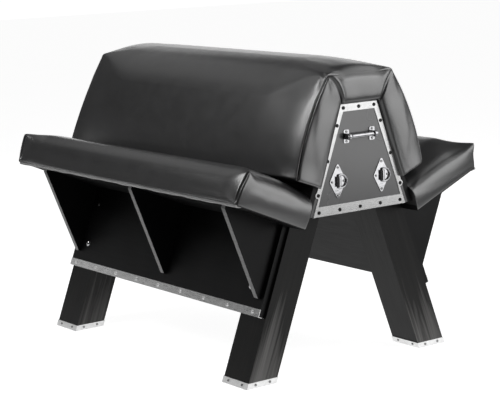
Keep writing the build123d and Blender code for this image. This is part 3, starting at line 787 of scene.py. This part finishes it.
def gloss_panel():
    """A dark grey gloss sheet with a very slight orange peel."""
    shader = Shader("gloss_panel")
    peel = shader.noise(90.0, 2.0)
    haze = shader.noise(8.0, 3.0)
    shader.colour(haze, (0.3, (0.085, 0.085, 0.087)), (0.8, (0.10, 0.10, 0.102)))
    shader.roughness(haze, (0.3, 0.22), (0.8, 0.30))
    shader.bumps((peel, 0.08, 0.0006))
    shader.set(Specular_IOR_Level=0.85)
    return shader.material


def brushed_metal(name, tone, stretch, turn=(0, 0, 0), rough=0.22):
    """Bright sheet metal, brushed along its length, with small scuffs."""
    shader = Shader(name)
    strokes = shader.noise(1500.0, 4.0, 0.6, shader.mapping(stretch=stretch, turn=turn))
    scuffs = shader.noise(70.0, 6.0, 0.7)
    shader.colour(scuffs, (0.35, tone * 0.88), (0.6, tone))
    shader.roughness(strokes, (0.3, rough), (0.7, rough + 0.16))
    shader.bumps((scuffs, 0.10, 0.0004), (strokes, 0.10, 0.0001))
    shader.set(Metallic=1.0)
    return shader.material


def chrome():
    """Bright plated castings with a slightly uneven surface."""
    shader = Shader("bright_hardware")
    cast = shader.noise(70.0, 2.0)
    shader.colour(cast, (0.3, (0.34, 0.34, 0.35)), (0.7, (0.46, 0.46, 0.47)))
    shader.roughness(cast, (0.3, 0.07), (0.7, 0.15))
    shader.bumps((cast, 0.16, 0.0008))
    shader.set(Metallic=1.0)
    return shader.material


def dark_steel(name, dark, light, rough):
    """Screws and bolts, their dull steel rubbed brighter in places."""
    shader = Shader(name)
    wear = shader.noise(420.0, 4.0)
    shader.colour(wear, (0.35, dark), (0.7, light))
    shader.roughness(wear, (0.3, rough), (0.7, rough + 0.15))
    shader.bumps((wear, 0.08, 0.0002))
    shader.set(Metallic=0.9)
    return shader.material


def give(nodes, material):
    """Assign a material to whole CAD nodes."""
    for name in nodes:
        slots = frame["nodes"][name].data.materials
        slots.clear()
        slots.append(material)


def named(*starts):
    """The CAD nodes whose names start with any of these."""
    return [n for n in frame["nodes"] if n.startswith(starts)]


# ---- floor, room, lights and camera ----
def square(name, reach, z):
    """A level square round the middle, reaching this far each way."""
    return mesh_object(name, [(-reach, -reach, z), (reach, -reach, z), (reach, reach, z),
                              (-reach, reach, z)], [[0, 1, 2, 3]])


def floor():
    """A pale floor that shines enough to stay white, and that casts nothing on the bench."""
    stage = square("floor", FLOOR_REACH, 0)
    shader = Shader("pale_floor")
    shader.colour(shader.noise(3.0, 2.0), (0.2, 0.62), (0.8, 0.66))
    shader.set(Roughness=0.9, Specular_IOR_Level=0.0, Emission_Color=(1, 1, 1, 1),
               Emission_Strength=0.92)
    stage.data.materials.append(shader.material)
    stage.visible_diffuse = False
    stage.visible_glossy = False


def floor_glow():
    """The pool of light on the floor, seen only in reflections."""
    pool = square("floor_glow", GLOW_GONE, GLOW_LEVEL)
    shader = Shader("floor_glow")
    away = shader.add("ShaderNodeVectorMath", operation="LENGTH")
    shader.link(shader.place, away.inputs[0])
    glow = shader.fade(away.outputs["Value"], (GLOW_FULL, GLOW), (GLOW_GONE, WORLD_BELOW))
    shader.link(glow, shader.surface.inputs["Emission Strength"])
    shader.set(Base_Color=(0, 0, 0, 1), Roughness=1.0, Specular_IOR_Level=0.0,
               Emission_Color=(1, 1, 1, 1))
    pool.data.materials.append(shader.material)
    pool.visible_camera = False
    pool.visible_diffuse = False
    pool.visible_shadow = False


def world():
    """A dim, nearly even room, which the camera sees as plain white."""
    room = bpy.data.worlds.new("room")
    bpy.context.scene.world = room
    room.use_nodes = True
    nodes, links = room.node_tree.nodes, room.node_tree.links
    nodes.clear()
    direction = nodes.new("ShaderNodeTexCoord")
    apart = nodes.new("ShaderNodeSeparateXYZ")
    links.new(direction.outputs["Generated"], apart.inputs[0])
    level = nodes.new("ShaderNodeMapRange")
    level.inputs["From Min"].default_value = HORIZON[0]
    level.inputs["From Max"].default_value = HORIZON[1]
    level.inputs["To Min"].default_value = WORLD_BELOW
    level.inputs["To Max"].default_value = WORLD_ABOVE
    links.new(apart.outputs["Z"], level.inputs["Value"])
    dim = nodes.new("ShaderNodeBackground")
    dim.inputs["Color"].default_value = (1, 1, 1, 1)
    links.new(level.outputs["Result"], dim.inputs["Strength"])
    white = nodes.new("ShaderNodeBackground")
    white.inputs["Color"].default_value = (1, 1, 1, 1)
    white.inputs["Strength"].default_value = WORLD_SEEN
    seen = nodes.new("ShaderNodeLightPath")
    mix = nodes.new("ShaderNodeMixShader")
    out = nodes.new("ShaderNodeOutputWorld")
    links.new(seen.outputs["Is Camera Ray"], mix.inputs[0])
    links.new(dim.outputs[0], mix.inputs[1])
    links.new(white.outputs[0], mix.inputs[2])
    links.new(mix.outputs[0], out.inputs["Surface"])


def softbox(name, place, target, size, glow):
    """A soft panel of light of the given width, height and brightness, aimed at the target."""
    data = bpy.data.lights.new(name, "AREA")
    data.shape = "RECTANGLE"
    data.size, data.size_y = size
    data.energy = glow * math.pi * size[0] * size[1]
    lamp = bpy.data.objects.new(name, data)
    lamp.location = place
    lamp.visible_camera = False
    toward = Vector(target) - Vector(place)
    lamp.rotation_mode = "QUATERNION"
    lamp.rotation_quaternion = toward.to_track_quat("-Z", "Y")
    bpy.context.scene.collection.objects.link(lamp)


def camera():
    """A long lens from a little above the bench, seeing the front end and the right side."""
    across, ahead = math.sin(CAMERA_AZIMUTH), math.cos(CAMERA_AZIMUTH)
    flat = math.cos(CAMERA_ELEVATION)
    back = Vector((across * flat, -ahead * flat, math.sin(CAMERA_ELEVATION)))
    level = Vector((ahead, across, 0))
    rise = back.cross(level)
    right = level * math.cos(CAMERA_ROLL) + rise * math.sin(CAMERA_ROLL)
    up = rise * math.cos(CAMERA_ROLL) - level * math.sin(CAMERA_ROLL)
    data = bpy.data.cameras.new("camera")
    data.sensor_width = 36.0
    data.lens = LENS_MM
    data.clip_end = 60.0
    eye = bpy.data.objects.new("camera", data)
    turn = Matrix((right, up, back)).transposed().to_4x4()
    eye.matrix_world = Matrix.Translation(CAMERA_PLACE) @ turn
    bpy.context.scene.collection.objects.link(eye)
    bpy.context.scene.camera = eye


camera()
world()
floor()
floor_glow()
for box_name, values in SOFTBOXES.items():
    softbox(box_name, *values)
bpy.context.scene.view_settings.view_transform = "Standard"

COVER = cover_material("black_cover", (0.009, 0.009, 0.010), (0.015, 0.015, 0.016), 0.34)
# painted highlight: the hem's grey stands for the lit floor reflected along the shelves' lower outer
# edges, on a cover that is black
HEM_HIGHLIGHT = cover_material("hem_painted_highlight", (0.30, 0.30, 0.30), (0.42, 0.42, 0.42), 0.5)
for side_name, side in (("left", 1), ("right", -1)):
    timber = stained_wood(f"leg_wood_{side_name}", (-side * LEAN, 0, 0), DARK_WOOD, LIGHT_WOOD,
                          FLOOR_LIGHT_WOOD, 0.42)
    give([f"leg_front_{side_name}", f"leg_rear_{side_name}"], timber)
give(named("skirt_left", "skirt_right", "shelf_board", "side_board", "top_board", "middle_rib",
           "box_floor"), painted_board("black_board", None))
give(named("gusset"), painted_board("gusset_board", CUT_EDGE))
give(["front_panel", "rear_panel"], gloss_panel())
give(["skirt_trim_left", "skirt_trim_right"],
     brushed_metal("strip_metal_x", STRIP_TONE, (BRUSH_SQUEEZE, 1.0, 1.0)))
give(["front_trim_top", "front_trim_bottom", "rear_trim_top", "rear_trim_bottom"],
     brushed_metal("strip_metal_y", TRIM_TONE, (1.0, BRUSH_SQUEEZE, 1.0)))
for side_name, side in (("left", 1), ("right", -1)):
    strip = brushed_metal(f"strip_metal_{side_name}", TRIM_TONE, (1.0, 1.0, BRUSH_SQUEEZE),
                          (-side * LEAN, 0, 0))
    give([f"front_trim_{side_name}", f"rear_trim_{side_name}"], strip)
give(named("foot_cap_front", "foot_cap_rear"),
     brushed_metal("cap_metal", CAP_TONE, (BRUSH_SQUEEZE, BRUSH_SQUEEZE, 1.0), rough=0.48))
give(named("ring_plate_front", "ring_plate_rear", "d_ring", "front_handle", "rear_handle",
           "lower_leg_bolts"), chrome())
give(["skirt_trim_screws"],
     brushed_metal("bright_screws", BRIGHT_TONE, (1.0, 1.0, 1.0), rough=0.45))
for steel_name, (steel_nodes, darkest, lightest, steel_rough) in STEELS.items():
    give(steel_nodes, dark_steel(steel_name, darkest, lightest, steel_rough))

saddle = saddle_pad()
swell(saddle, on_boards(positions(saddle.data)))
refine(saddle)
saddle.data.materials.append(COVER)
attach(saddle, "frame")
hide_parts("saddle_pad")

for side_name, side in (("left", 1), ("right", -1)):
    shelf = shelf_pad(f"shelf_cover_{side_name}", side)
    swell(shelf, on_shelf_board(positions(shelf.data), side))
    refine(shelf)
    shelf.data.materials.append(COVER)
    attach(shelf, "frame")
    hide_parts(f"shelf_pad_{side_name}")
    hem = shelf_hem(f"shelf_hem_{side_name}", side)
    hem.data.materials.append(HEM_HIGHLIGHT)
    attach(hem, "frame")
